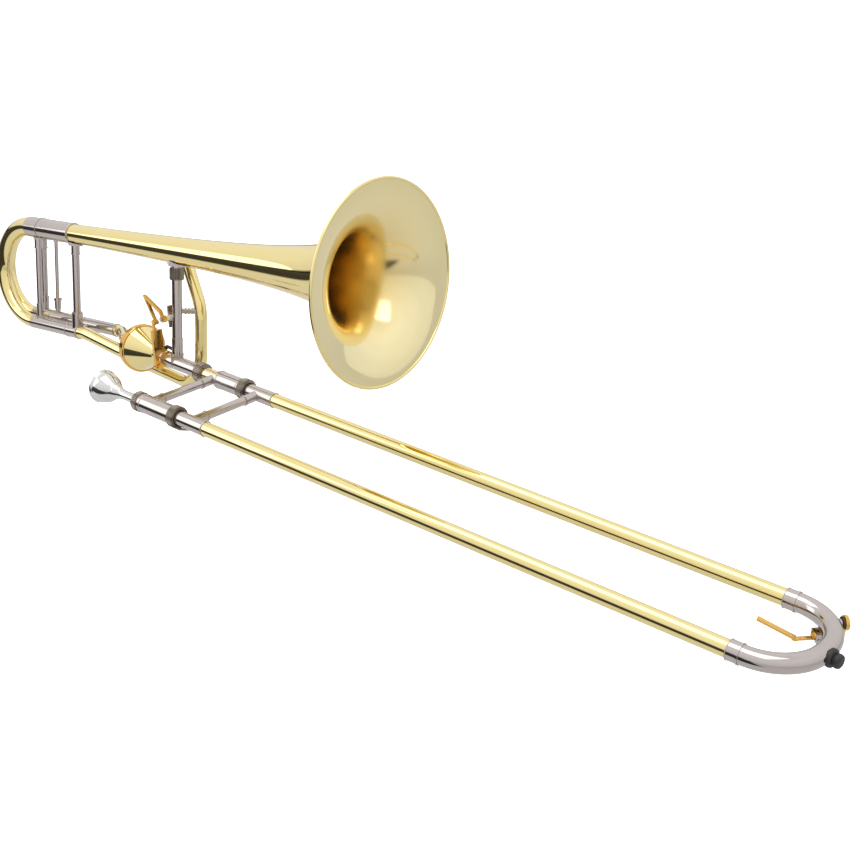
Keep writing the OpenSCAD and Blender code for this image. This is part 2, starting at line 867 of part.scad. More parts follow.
module rotor_crank() {
  color("#cf8f27")
    valve_frame()
      difference() {
        union() {
          tube_x(crank_x[0], crank_x[1], 2 * neck_r + 3);
          rotate([half_turn, 0, 0]) {
            translate([crank_x[0], -crank_r, -2.6])
              cube([crank_x[1] - crank_x[0], crank_r, 5.2]);
            translate([0, -crank_r, 0])
              tube_x(crank_x[0], crank_x[1], 5.2);
            translate([0, -crank_r, 0])
              tube_x(link_x - link_w / 2 - 0.8, crank_x[0] + 1, 2 * pin_r);
            translate([crank_x[0], 0, -2.6])
              cube([crank_x[1] - crank_x[0], crank_r + 1, 5.2]);
          }
        }
        tube_x(crank_x[0] - 1, crank_x[1] + 1, 2 * neck_r);
      }
}

module stop_bumpers() {
  color("#3b3a38")
    valve_frame()
      difference() {
        for (s = [-1, 1])
          rotate([s * (half_turn + 24), 0, 0]) {
            translate([0, crank_r, 0])
              tube_x(nose_len - 3.5, crank_x[1] - 0.5, 4);
            translate([nose_len - 6, nose_r - 2, -2])
              cube([3, crank_r - nose_r + 2, 4]);
          }
        tube_x(-1, nose_len, 2 * nose_r);
        tube_x(nose_len - 1, crank_x[1] + 2, 2 * neck_r + 3 + 2 * part_gap);
      }
}

module link_bar() {
  color("#cf8f27")
    valve_frame()
      difference() {
        union() {
          translate([link_x - link_w / 2, link_y - 3.8, link_low_z])
            cube([link_w, 5, block_z[0] - link_low_z + 4]);
          translate([link_x - link_w / 2, link_y - 3.8, block_z[0]])
            cube([link_w, block_t, block_z[1] - block_z[0]]);
          translate([link_x - 2, link_y - link_t / 2, block_z[1] - 1])
            cube([4, link_t, link_top_z - block_z[1] + 1]);
          disc_y([link_x, link_top_z], 6.4, [link_y - link_t / 2, link_y + link_t / 2]);
          disc_y([link_x, link_top_z], 2 * pin_r, [link_y - link_t / 2, trigger_y[1] + 1]);
          slot_shape(link_w, 3.4);
        }
        slot_shape(link_w + 4, pin_r + slot_gap);
        translate([0, -neck_r - part_gap, link_low_z - 10])
          cube([30, 20, block_z[0] - link_low_z + 10]);
      }
}

// The rounded slot that the crank pin slides in.
module slot_shape(w, r) {
  for (y = [link_y, link_y - link_slot])
    translate([0, y, link_low_z])
      tube_x(link_x - w / 2, link_x + w / 2, 2 * r);
  translate([link_x - w / 2, link_y - link_slot, link_low_z - r])
    cube([w, link_slot, 2 * r]);
}

module disc_y(p, d, y) {
  translate([p[0], y[1], p[1]])
    rotate([90, 0, 0])
      cylinder(h = y[1] - y[0], d = d);
}

pivot_at = [trigger_x, trigger_z];
paddle_root = [trigger_x - 5, trigger_z + 8];
paddle_tip = [trigger_x - 40, trigger_z + 20];
link_joint_at = [link_top_x, link_top_z];
eye_y = [trigger_y[0], trigger_y[1] + 1];

// The bent strip's side view: out along the upper leg to the tip, and back along the lower one.
function across(a, b) = unit([a[1] - b[1], b[0] - a[0]]) * trigger_t / 2;
upper_side = across(paddle_root, paddle_tip);
lower_side = across(paddle_tip, link_joint_at);
root_side = across(pivot_at, paddle_root);
tip_out = unit(paddle_tip - (paddle_root + link_joint_at) / 2) * 2.4;
inner_tip = paddle_tip - tip_out * 2.2;
strip_outline = [
  pivot_at + root_side * -1.2, paddle_root - upper_side * 0.9 - root_side, paddle_tip - upper_side,
  paddle_tip + tip_out, paddle_tip + lower_side * -1, link_joint_at - lower_side * 1.2,
  link_joint_at + lower_side * 1.2, inner_tip, paddle_root + upper_side + root_side * 1.2,
  pivot_at + root_side * 1.2
];

module trigger_lever() {
  color("#cf8f27")
    valve_frame()
      difference() {
        union() {
          translate([0, trigger_y[1], 0])
            rotate([90, 0, 0])
              linear_extrude(trigger_y[1] - trigger_y[0])
                polygon(strip_outline);
          disc_y(link_joint_at, 6.4, trigger_y);
          disc_y(pivot_at, 8.4, eye_y);
        }
        disc_y(link_joint_at, 2 * (pin_r + running_gap), [-60, 60]);
        disc_y(pivot_at, 2 * (pin_r + running_gap), [-60, 60]);
      }
}

module trigger_pin() {
  color("#8d8680")
    difference() {
      valve_frame() {
        disc_y(pivot_at, 2 * pin_r, [trigger_y[0] - 0.6, eye_y[1] + 10]);
        disc_y(pivot_at, 5, [trigger_y[0] - 2, trigger_y[0] - part_gap]);
      }
      bell_frame()
        translate([main_brace_at, 0, 0])
          rod_z(-8, main_brace_top - 4, main_brace_d);
    }
}

module trigger_saddle() {
  color("#8d8680")
    difference() {
      valve_frame()
        difference() {
          union() {
            disc_y(pivot_at, 8, [eye_y[1] + 4.4, eye_y[1] + 13]);
            translate([trigger_x - 6, eye_y[1] + 6, trigger_z - 4])
              cube([8, 8, 8]);
            translate([trigger_x - 6, eye_y[1] + 6, trigger_z - 13])
              cube([2.4, 16, 26]);
          }
          disc_y(pivot_at, 2 * pin_r, [-60, 60]);
        }
      bell_frame()
        translate([main_brace_at, 0, 0])
          rod_z(10, 100, main_brace_d);
    }
}

module trigger_spring() {
  color("#d8d2a8")
    valve_frame()
      difference() {
        disc_y(pivot_at, 6.4, [eye_y[1] + part_gap, eye_y[1] + 4.4]);
        disc_y(pivot_at, 2 * pin_r, [-60, 60]);
      }
}

// ---- inner hand slide ----------------------------------------------------------------------

module at_near() {
  translate([0, near_y, 0])
    children();
}

module bell_receiver() {
  color("#cdbb86") {
    tube_x(thread_front_x, far_tube_x, receiver_od, bore_d);
    tube_x(thread_front_x, thread_front_x + collar_t, thread_od, receiver_od);
  }
}

module inner_tubes() {
  color("#c9c5bf") {
    tube_x(far_tube_x, tube_end_x, inner_od, inner_id);
    at_near()
      tube_x(receiver_front_x, tube_end_x, inner_od, inner_id);
  }
}

module cork_barrels() {
  color("#b4ada8") {
    difference() {
      tube_x(far_tube_x, barrel_front_x, barrel_od, inner_od);
      tube_x(far_tube_x + 5, barrel_front_x + 1, barrel_bore);
    }
    at_near()
      difference() {
        tube_x(barrel_rear_x, barrel_front_x, barrel_od, inner_od);
        tube_x(barrel_rear_x - 1, receiver_front_x, receiver_od);
        tube_x(receiver_front_x + 5, barrel_front_x + 1, barrel_bore);
      }
  }
}

module slide_corks() {
  color("#c4a46c")
    for (y = [0, near_y])
      translate([0, y, 0])
        tube_x(barrel_front_x - 12, barrel_front_x - 0.5, barrel_bore, inner_od);
}

// A cross brace between the slide tubes with a socket at each end.
module cross_brace(x, cut_od) {
  difference() {
    translate([x, 0, 0])
      rotate([90, 0, 0])
        post(0, slide_spacing, slide_brace_d, 22, slide_brace_d + 1.4);
    tube_x(x - 40, x + 40, cut_od);
    at_near()
      tube_x(x - 40, x + 40, cut_od);
  }
}

module inner_brace() {
  color("#b4ada8")
    difference() {
      cross_brace(0, receiver_od);
      tube_x(far_tube_x, barrel_front_x, barrel_od);
      at_near()
        tube_x(barrel_rear_x, barrel_front_x, barrel_od);
    }
}

module mouthpiece_receiver() {
  color("#b4ada8")
    at_near()
      turned([
        [shank_in_r + running_gap / 2, receiver_rear_x], [receiver_od / 2, receiver_rear_x],
        [receiver_od / 2, receiver_front_x], [shank_end_r + running_gap / 2, receiver_front_x]
      ]);
}

module receiver_ring() {
  color("#9b948e")
    at_near()
      knurled_x(barrel_rear_x - receiver_ring_len, barrel_rear_x, knurl_od - 2, receiver_od, 36);
}

module bell_side_ring() {
  color("#9b948e")
    difference() {
      knurled_x(barrel_front_x - 3, barrel_front_x - 3 + barrel_ring_len, knurl_od, barrel_bore, 40);
      tube_x(0, barrel_front_x, barrel_od);
    }
}

module slide_lock_ring() {
  color("#9b948e")
    at_near()
      difference() {
        union() {
          knurled_x(barrel_front_x - 3, barrel_front_x - 3 + barrel_ring_len, knurl_od, barrel_bore, 40);
          rotate([70, 0, 0])
            translate([barrel_front_x + barrel_ring_len - 8, -knurl_od / 2 + 0.6, -3])
              cube([13, 1.8, 7]);
          rotate([70, 0, 0])
            translate([barrel_front_x + barrel_ring_len + 2, -knurl_od / 2 + 0.6, -10])
              cube([3, 1.8, 10]);
        }
        tube_x(0, barrel_front_x + part_gap, barrel_od + 2 * running_gap);
      }
}

cup_depth = 24;

module mouthpiece() {
  tip_x = receiver_front_x - 1;
  color("#d6d6d4")
    at_near()
      turned([
        [rim_id / 2 + 1.6, rim_x], [rim_od / 2 - 1.8, rim_x], [rim_od / 2 - 0.5, rim_x + 0.6],
        [rim_od / 2, rim_x + 2], [rim_od / 2 - 0.4, rim_x + 3.6], [rim_od / 2 - 1.6, rim_x + 4.8],
        [rim_od / 2 - 1.9, rim_x + 8], [rim_od / 2 - 2.6, rim_x + 12], [rim_od / 2 - 4.1, rim_x + 16],
        [rim_od / 2 - 6.6, rim_x + 20], [rim_od / 2 - 9.2, rim_x + 23], [rim_od / 2 - 10.6, rim_x + 25],
        [rim_od / 2 - 10.6, rim_x + 26.4], [rim_od / 2 - 11.6, rim_x + 28], [rim_od / 2 - 12.9, rim_x + 33],
        [5.8, rim_x + 39], [5.8, rim_x + 44],
        [shank_in_r - 0.2, receiver_rear_x - 1], [shank_in_r - running_gap / 2, receiver_rear_x],
        [shank_end_r - running_gap / 2, tip_x], [shank_end_r - 0.8, tip_x],
        [3.6, rim_x + cup_depth + 12], [3.6, rim_x + cup_depth + 4], [5, rim_x + cup_depth],
        [8, rim_x + cup_depth - 6], [10.6, rim_x + cup_depth - 13], [12, rim_x + 5],
        [rim_id / 2 - 0.2, rim_x + 1.6], [rim_id / 2 + 0.4, rim_x + 0.5]
      ]);
}

// ---- outer hand slide ----------------------------------------------------------------------

module outer_tubes() {
  color("#d9bf62")
    for (y = [0, near_y])
      translate([0, y, 0])
        tube_x(outer_sleeve_x, bow_x, outer_od, outer_id);
}

module outer_sleeves() {
  color("#b4ada8") {
    for (y = [0, near_y])
      translate([0, y, 0])
        tube_x(outer_sleeve_x, outer_sleeve_x + outer_sleeve_len, outer_sleeve_od, outer_od);
    at_near()
      rotate([45, 0, 0])
        difference() {
          translate([barrel_front_x + barrel_ring_len - 0.1, 0, -outer_sleeve_od / 2 - 3.4])
            cylinder(h = 4, d = 3.6);
          tube_x(40, 90, outer_sleeve_od - 0.4);
        }
  }
}

module outer_brace() {
  color("#b4ada8")
    cross_brace(brace_gap, outer_sleeve_od);
}

module bow_ferrules() {
  color("#b4ada8")
    for (y = [0, near_y])
      translate([0, y, 0])
        difference() {
          union() {
            tube_x(bow_x - bow_ferrule_len, bow_x, bow_od + 0.8);
            tube_x(bow_x - 2, bow_x - 0.4, bow_od + 1.8);
          }
          tube_x(bow_x - bow_ferrule_len - 1, bow_x + 1, outer_od);
        }
}

bow_points = [
  [bow_x, 0, 0], [bow_x + bow_bend, 0, 0], [bow_x + bow_bend, near_y, 0], [bow_x, near_y, 0]
];

module bow_shape(od, id = 0) {
  pipe(bow_points, [0, bow_bend, bow_bend, 0], od, id);
}

spout_reach = bow_bend + bow_od / 2 + 2;

module bow() {
  color("#b4ada8")
    difference() {
      union() {
        bow_shape(bow_od, outer_id);
        difference() {
          key_frame()
            tube_x(bow_bend, spout_reach, 7.4);
          bow_shape(outer_id);
        }
      }
      key_frame()
        tube_x(bow_bend, spout_reach + 1, 3);
    }
}

module bow_bumper() {
  seat = bow_bend + bow_od / 2 - 1;
  tip = bow_bend + bow_od / 2 + bumper_len;
  color("#1c1b1a")
    difference() {
      translate([bow_x, near_y / 2, 0])
        rotate(bumper_angle)
          turned([
            [0, seat - 1], [8, seat - 1], [8.4, seat + 1.6], [7.6, seat + 3.4], [4.6, seat + 3.8],
            [4.4, seat + 4.4], [6, seat + 5], [6.4, seat + 7], [5.4, tip - 0.6], [4.4, tip], [0, tip]
          ]);
      bow_shape(bow_od);
    }
}

hinge_at = bow_bend - 9;
cup_at = spout_reach + 1.6;
arm_z = -key_hinge_z - 0.9;

module key_saddle() {
  color("#b4ada8")
    difference() {
      key_frame()
        difference() {
          for (y = [-5.8, 4.2])
            translate([hinge_at - 2.6, y, -key_hinge_z - 2.6])
              cube([11, 1.6, 8]);
          translate([hinge_at, 10, -key_hinge_z])
            rotate([90, 0, 0])
              cylinder(h = 20, r = 1.25);
        }
      bow_shape(bow_od);
    }
}

module key_pin() {
  color("#8d8680")
    key_frame()
      translate([hinge_at, 6.6, -key_hinge_z])
        rotate([90, 0, 0])
          cylinder(h = 13.2, r = 1.25);
}

module key_bar(a, b, w, t) {
  v = b - a;
  place(a, unit(cross(v, [0, 0, 1])), unit(v))
    translate([-w / 2, -t / 2, 0])
      cube([w, t, norm(v)]);
}

module water_key() {
  elbow = [20, 0, arm_z + 0.9];
  tip = [-7.5, 17, -3];
  color("#cf8f27")
    key_frame()
      difference() {
        union() {
          translate([hinge_at, 3.8, -key_hinge_z])
            rotate([90, 0, 0])
              cylinder(h = 7.6, d = 6);
          translate([elbow.x, -2, arm_z - 0.9])
            cube([cup_at + 2.4 - elbow.x, 4, 1.8]);
          translate([cup_at + 0.6, -2, arm_z - 0.9])
            cube([1.8, 4, key_hinge_z + 1]);
          tube_x(cup_at, cup_at + 3.2, 13);
          translate([elbow.x, elbow.y, arm_z - 0.9])
            cylinder(h = 1.8, d = 5.6);
          key_bar(elbow, tip, 5.4, 1.8);
        }
        translate([hinge_at, 10, -key_hinge_z])
          rotate([90, 0, 0])
            cylinder(h = 20, r = 1.25 + running_gap);
      }
}

module key_pad() {
  color("#2a2521")
    key_frame()
      tube_x(spout_reach + 0.05, cup_at, 10.6);
}

bell();
bell_rim_wire();
neck_sleeve();
lower_sleeve();
lower_inner_leg();
valve_inlet_tube();
rear_bell_brace();
main_bell_brace();
brace_collar();
bell_flange();
gooseneck();
bell_lock_nut();
tuning_crook();
tuning_upper_leg();
tuning_lower_leg();
tuning_brace();
loop_crook();
loop_slide_legs();
loop_ferrules();
loop_slide_brace();
loop_sleeves();
sleeve_rod();
cross_ties();
loop_upper_tube();
loop_lower_tube();
loop_port_tube();
loop_tie();
valve_casing();
valve_ring();
port_plate();
port_ferrules();
axle_bush();
rotor();
rotor_crank();
stop_bumpers();
link_bar();
trigger_lever();
trigger_saddle();
trigger_pin();
trigger_spring();
bell_receiver();
inner_tubes();
cork_barrels();
slide_corks();
inner_brace();
mouthpiece_receiver();
receiver_ring();
bell_side_ring();
slide_lock_ring();
mouthpiece();
outer_tubes();
outer_sleeves();
outer_brace();
bow_ferrules();
bow();
bow_bumper();
key_saddle();
key_pin();
water_key();
key_pad();
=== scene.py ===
import bpy, bmesh, math
from mathutils import Matrix, Vector


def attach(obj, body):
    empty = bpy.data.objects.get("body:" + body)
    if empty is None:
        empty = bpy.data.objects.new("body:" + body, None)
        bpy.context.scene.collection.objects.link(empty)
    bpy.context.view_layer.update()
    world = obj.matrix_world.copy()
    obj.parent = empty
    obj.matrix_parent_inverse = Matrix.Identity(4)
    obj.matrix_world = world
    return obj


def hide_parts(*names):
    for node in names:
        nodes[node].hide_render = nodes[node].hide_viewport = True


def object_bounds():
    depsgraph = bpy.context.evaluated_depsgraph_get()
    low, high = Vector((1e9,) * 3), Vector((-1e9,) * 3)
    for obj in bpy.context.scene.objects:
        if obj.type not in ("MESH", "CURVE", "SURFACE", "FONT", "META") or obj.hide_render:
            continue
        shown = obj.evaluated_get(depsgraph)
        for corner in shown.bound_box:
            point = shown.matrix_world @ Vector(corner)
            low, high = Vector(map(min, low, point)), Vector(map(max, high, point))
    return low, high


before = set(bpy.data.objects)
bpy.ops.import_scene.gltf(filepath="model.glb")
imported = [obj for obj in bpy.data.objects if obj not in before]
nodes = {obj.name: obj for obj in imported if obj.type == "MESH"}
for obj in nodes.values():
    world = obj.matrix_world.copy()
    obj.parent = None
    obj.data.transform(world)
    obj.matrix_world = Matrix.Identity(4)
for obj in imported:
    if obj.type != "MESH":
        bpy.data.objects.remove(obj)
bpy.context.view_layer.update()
mm = 0.001
print("frame loaded:", len(nodes), "nodes")


# The bell section and the valve lean away from the slide, so each has its own frame.
bellPlace = {"pivotX": -129.6, "rise": 5.66, "lean": 8.34, "axisHeight": 126.2}
valvePlace = {"elbowX": -77.5, "apex": 31.0, "turn": 11.0, "lift": 5.0}
bowPlace = {"x": 716.5, "spacing": 101.3, "flat": 7.3, "keyAngle": 46.0, "bumperAngle": -8.0}
bowPlace["bend"] = (bowPlace["spacing"] - bowPlace["flat"]) / 2

bellMatrix = (Matrix.Translation((bellPlace["pivotX"] * mm, 0, 0))
              @ Matrix.Rotation(math.radians(-bellPlace["lean"]), 4, "X")
              @ Matrix.Rotation(math.radians(-bellPlace["rise"]), 4, "Y"))
valveMatrix = (Matrix.Translation((valvePlace["elbowX"] * mm, 0, 0))
               @ Matrix.Rotation(math.radians(-valvePlace["turn"]), 4, "Z")
               @ Matrix.Rotation(math.radians(-valvePlace["lift"]), 4, "Y")
               @ Matrix.Translation((-valvePlace["apex"] * mm, 0, 0)))
slideMatrix = Matrix.Identity(4)
nearMatrix = Matrix.Translation((0, -bowPlace["spacing"] * mm, 0))
bowMatrix = Matrix.Translation((bowPlace["x"] * mm, -bowPlace["spacing"] / 2 * mm, 0))
keyMatrix = Matrix.Translation((bowPlace["x"] * mm, -bowPlace["bend"] * mm,
                                0)) @ Matrix.Rotation(math.radians(bowPlace["keyAngle"]), 4, "Z")
bumperMatrix = bowMatrix @ Matrix.Rotation(math.radians(bowPlace["bumperAngle"]), 4, "Z")


def newGroup(name, inputs, outputs):
    group = bpy.data.node_groups.new(name, "ShaderNodeTree")
    for label, kind, value in inputs:
        socket = group.interface.new_socket(label, in_out="INPUT", socket_type=kind)
        if value is not None:
            socket.default_value = value
    for label, kind in outputs:
        group.interface.new_socket(label, in_out="OUTPUT", socket_type=kind)
    source = group.nodes.new("NodeGroupInput")
    target = group.nodes.new("NodeGroupOutput")
    return group, source, target


def mathNode(tree, operation, first, second=None, clamp=False):
    node = tree.nodes.new("ShaderNodeMath")
    node.operation = operation
    node.use_clamp = clamp
    for index, value in enumerate((first, second)):
        if value is None:
            continue
        if isinstance(value, (int, float)):
            node.inputs[index].default_value = value
        else:
            tree.links.new(value, node.inputs[index])
    return node.outputs[0]


def mixColour(tree, factor, first, second, blend="MIX"):
    node = tree.nodes.new("ShaderNodeMix")
    node.data_type = "RGBA"
    node.blend_type = blend
    for socket, value in ((node.inputs[0], factor), (node.inputs[6], first), (node.inputs[7], second)):
        if isinstance(value, (int, float)):
            socket.default_value = value
        elif isinstance(value, (tuple, list)):
            socket.default_value = value
        else:
            tree.links.new(value, socket)
    return node.outputs[2]


def noiseNode(tree, vector, scale, detail=3.0, roughness=0.5):
    node = tree.nodes.new("ShaderNodeTexNoise")
    tree.links.new(vector, node.inputs["Vector"])
    if isinstance(scale, (int, float)):
        node.inputs["Scale"].default_value = scale
    else:
        tree.links.new(scale, node.inputs["Scale"])
    node.inputs["Detail"].default_value = detail
    node.inputs["Roughness"].default_value = roughness
    return node.outputs["Fac"]


def rangeNode(tree, value, low, high, outLow=0.0, outHigh=1.0):
    node = tree.nodes.new("ShaderNodeMapRange")
    tree.links.new(value, node.inputs["Value"])
    for label, number in (("From Min", low), ("From Max", high), ("To Min", outLow), ("To Max", outHigh)):
        node.inputs[label].default_value = number
    return node.outputs["Result"]


# Soft handling marks: cloudy smudges, faint wiping streaks and the tiny waves of a buffed surface.
def buildHandling():
    group, source, target = newGroup(
        "handlingMarks",
        [("Vector", "NodeSocketVector", None), ("Smudge Scale", "NodeSocketFloat", 28.0),
         ("Streak Scale", "NodeSocketFloat", 420.0)],
        [("Smudge", "NodeSocketFloat"), ("Streak", "NodeSocketFloat"), ("Height", "NodeSocketFloat")])
    vector = source.outputs["Vector"]
    smudge = rangeNode(group, noiseNode(group, vector, source.outputs["Smudge Scale"], 5.0, 0.6), 0.42, 0.72)
    stretch = group.nodes.new("ShaderNodeMapping")
    stretch.inputs["Scale"].default_value = (0.06, 1.0, 1.0)
    stretch.inputs["Rotation"].default_value = (0.0, 0.0, 0.12)
    group.links.new(vector, stretch.inputs["Vector"])
    streak = rangeNode(group, noiseNode(group, stretch.outputs[0], source.outputs["Streak Scale"], 2.0,
                                        0.5), 0.5, 0.68)
    wave = noiseNode(group, vector, 60.0, 1.0, 0.4)
    height = mathNode(group, "ADD", mathNode(group, "MULTIPLY", streak, 0.12), wave)
    for value, label in ((smudge, "Smudge"), (streak, "Streak"), (height, "Height")):
        group.links.new(value, target.inputs[label])
    return group


# Dust and polish residue in random patches, from broad and fine noise.
def buildPatina():
    group, source, target = newGroup(
        "patinaTint",
        [("Vector", "NodeSocketVector", None),
         ("Clean", "NodeSocketColor", (1, 1, 1, 1)),
         ("Aged", "NodeSocketColor", (0.5, 0.4, 0.3, 1)),
         ("Amount", "NodeSocketFloat", 0.3)],
        [("Color", "NodeSocketColor"), ("Mask", "NodeSocketFloat")])
    vector = source.outputs["Vector"]
    broad = rangeNode(group, noiseNode(group, vector, 11.0, 4.0, 0.55), 0.35, 0.75)
    fine = rangeNode(group, noiseNode(group, vector, 160.0, 3.0, 0.6), 0.45, 0.8)
    mask = mathNode(group, "MULTIPLY", mathNode(group, "ADD", broad, mathNode(group, "MULTIPLY", fine,
                                                                              0.4)),
                    source.outputs["Amount"], True)
    group.links.new(mixColour(group, mask, source.outputs["Clean"], source.outputs["Aged"]),
                    target.inputs["Color"])
    group.links.new(mask, target.inputs["Mask"])
    return group


# Fine turned rings spaced along the X axis, with a mask for their grooves.
def buildTurning():
    group, source, target = newGroup(
        "turnedRings",
        [("Vector", "NodeSocketVector", None), ("Frequency", "NodeSocketFloat", 2200.0)],
        [("Height", "NodeSocketFloat"), ("Groove", "NodeSocketFloat")])
    split = group.nodes.new("ShaderNodeSeparateXYZ")
    group.links.new(source.outputs["Vector"], split.inputs[0])
    phase = mathNode(group, "MULTIPLY", split.outputs["X"], source.outputs["Frequency"])
    ring = mathNode(group, "SINE", phase)
    groove = rangeNode(group, ring, -1.0, -0.2, 1.0, 0.0)
    group.links.new(ring, target.inputs["Height"])
    group.links.new(groove, target.inputs["Groove"])
    return group


handlingGroup = buildHandling()
patinaGroup = buildPatina()
turningGroup = buildTurning()


def useGroup(tree, group, vector, **values):
    node = tree.nodes.new("ShaderNodeGroup")
    node.node_tree = group
    tree.links.new(vector, node.inputs["Vector"])
    for label, value in values.items():
        node.inputs[label.replace("_", " ")].default_value = value
    return node


def newMaterial(name):
    material = bpy.data.materials.new(name)
    material.use_nodes = True
    tree = material.node_tree
    tree.nodes.clear()
    output = tree.nodes.new("ShaderNodeOutputMaterial")
    shader = tree.nodes.new("ShaderNodeBsdfPrincipled")
    tree.links.new(shader.outputs[0], output.inputs["Surface"])
    coords = tree.nodes.new("ShaderNodeTexCoord")
    return material, tree, shader, coords.outputs["Object"]


def metal(name, look):
    material, tree, shader, vector = newMaterial(name)
    handling = useGroup(tree, handlingGroup, vector, Smudge_Scale=look.get("smudgeScale", 28.0),
                        Streak_Scale=look.get("streakScale", 420.0))
    patina = useGroup(tree, patinaGroup, vector, Clean=(*look["clean"], 1), Aged=(*look["aged"], 1),
                      Amount=look.get("age", 0.25))
    rough = mathNode(tree, "ADD", look["rough"], mathNode(tree, "MULTIPLY", handling.outputs["Smudge"],
                                                          look.get("smudge", 0.05)))
    rough = mathNode(tree, "ADD", rough, mathNode(tree, "MULTIPLY", handling.outputs["Streak"], 0.03))
    colour = patina.outputs["Color"]
    # Painted shade: deeper into the bell throat, towards lower X, the colour turns darker and more orange,
    # and the surface also grows rougher.
    if look.get("deep"):
        split = tree.nodes.new("ShaderNodeSeparateXYZ")
        tree.links.new(vector, split.inputs[0])
        depth = rangeNode(tree, split.outputs["X"], *look["deep"])
        rough = mathNode(tree, "ADD", rough, mathNode(tree, "MULTIPLY", depth, look["deepRough"]))
        colour = mixColour(tree, depth, colour, (*look["throatShadeTint"], 1))
    height = handling.outputs["Height"]
    if look.get("rings"):
        turning = useGroup(tree, turningGroup, vector, Frequency=look["rings"])
        colour = mixColour(tree, mathNode(tree, "MULTIPLY", turning.outputs["Groove"],
                                          look.get("ringDark", 0.4)), colour, (*look["aged"], 1))
        height = mathNode(tree, "ADD", height, mathNode(tree, "MULTIPLY", turning.outputs["Height"],
                                                        look.get("ringHeight", 1.0)))
    bump = tree.nodes.new("ShaderNodeBump")
    bump.inputs["Strength"].default_value = look.get("bump", 0.03)
    bump.inputs["Distance"].default_value = look.get("bumpDistance", 0.0004)
    tree.links.new(height, bump.inputs["Height"])
    tree.links.new(colour, shader.inputs["Base Color"])
    tree.links.new(rough, shader.inputs["Roughness"])
    tree.links.new(bump.outputs[0], shader.inputs["Normal"])
    shader.inputs["Metallic"].default_value = 1.0
    shader.inputs["Coat Weight"].default_value = look.get("coat", 0.0)
    shader.inputs["Coat Roughness"].default_value = 0.04
    return material


metalLooks = {
    "brassLacquer": {"clean": (0.86, 0.72, 0.34), "aged": (0.76, 0.58, 0.19), "rough": 0.055,
                     "age": 0.25, "coat": 0.3, "smudge": 0.03, "bump": 0.012},
    # bellInside is a paler copy of the lacquered brass (painted highlight) that turns darker and more orange
    # deeper into the throat (painted shade); its spinning rings are real.
    "bellInside": {"clean": (0.90, 0.79, 0.46), "aged": (0.84, 0.70, 0.34), "rough": 0.07, "age": 0.25,
                   "coat": 0.3, "smudge": 0.04, "bump": 0.01, "rings": 1500.0, "ringDark": 0.04,
                   "ringHeight": 0.1,
                   "deep": (0.225, 0.19), "deepRough": 0.13, "throatShadeTint": (0.80, 0.60, 0.24)},
    "nickelSilver": {"clean": (0.54, 0.49, 0.47), "aged": (0.40, 0.35, 0.33), "rough": 0.08,
                     "age": 0.35, "coat": 0.1, "smudge": 0.04, "bump": 0.015},
    # knurledNickel is a darker copy of the nickel silver: the shade in the knurl grooves is painted into its
    # colour, beside its real roughness and bump.
    "knurledNickel": {"clean": (0.30, 0.26, 0.22), "aged": (0.13, 0.10, 0.08), "rough": 0.26,
                      "age": 0.7, "smudge": 0.12, "bump": 0.1},
    "goldLacquer": {"clean": (0.80, 0.47, 0.10), "aged": (0.60, 0.31, 0.05), "rough": 0.12, "age": 0.35,
                    "coat": 0.4},
    "receiverBrass": {"clean": (0.86, 0.74, 0.48), "aged": (0.70, 0.55, 0.30), "rough": 0.16,
                      "age": 0.4, "coat": 0.15},
    "chromedTube": {"clean": (0.80, 0.79, 0.78), "aged": (0.66, 0.64, 0.62), "rough": 0.09, "age": 0.2,
                    "rings": 5200.0, "ringDark": 0.05, "ringHeight": 0.1},
    "silverPlate": {"clean": (0.70, 0.70, 0.69), "aged": (0.56, 0.54, 0.50), "rough": 0.07, "age": 0.25},
    "turnedSteel": {"clean": (0.60, 0.57, 0.55), "aged": (0.34, 0.31, 0.29), "rough": 0.22, "age": 0.4,
                    "rings": 6000.0, "ringDark": 0.3},
    "springWire": {"clean": (0.84, 0.80, 0.62), "aged": (0.62, 0.52, 0.34), "rough": 0.2, "age": 0.4},
}
finish = {name: metal(name, look) for name, look in metalLooks.items()}


def softMaterial(name, dark, light, rough, grain, depth):
    material, tree, shader, vector = newMaterial(name)
    speckle = noiseNode(tree, vector, grain, 6.0, 0.7)
    blotch = noiseNode(tree, vector, grain * 0.2, 3.0, 0.5)
    mask = mathNode(tree, "MULTIPLY", mathNode(tree, "ADD", speckle, blotch), 0.5)
    tree.links.new(mixColour(tree, rangeNode(tree, mask, 0.35, 0.65), (*dark, 1), (*light, 1)),
                   shader.inputs["Base Color"])
    tree.links.new(rangeNode(tree, speckle, 0.3, 0.7, rough - 0.08, rough + 0.08), shader.inputs["Roughness"])
    bump = tree.nodes.new("ShaderNodeBump")
    bump.inputs["Strength"].default_value = 0.4
    bump.inputs["Distance"].default_value = depth
    tree.links.new(mask, bump.inputs["Height"])
    tree.links.new(bump.outputs[0], shader.inputs["Normal"])
    return material


finish["mouldedRubber"] = softMaterial("mouldedRubber", (0.010, 0.010, 0.011), (0.028, 0.027, 0.026),
                                       0.55, 900.0, 0.0002)
finish["feltPad"] = softMaterial("feltPad", (0.025, 0.020, 0.016), (0.075, 0.058, 0.045), 0.85, 1400.0,
                                 0.0003)
finish["corkRing"] = softMaterial("corkRing", (0.38, 0.25, 0.13), (0.66, 0.50, 0.31), 0.8, 1100.0, 0.0003)

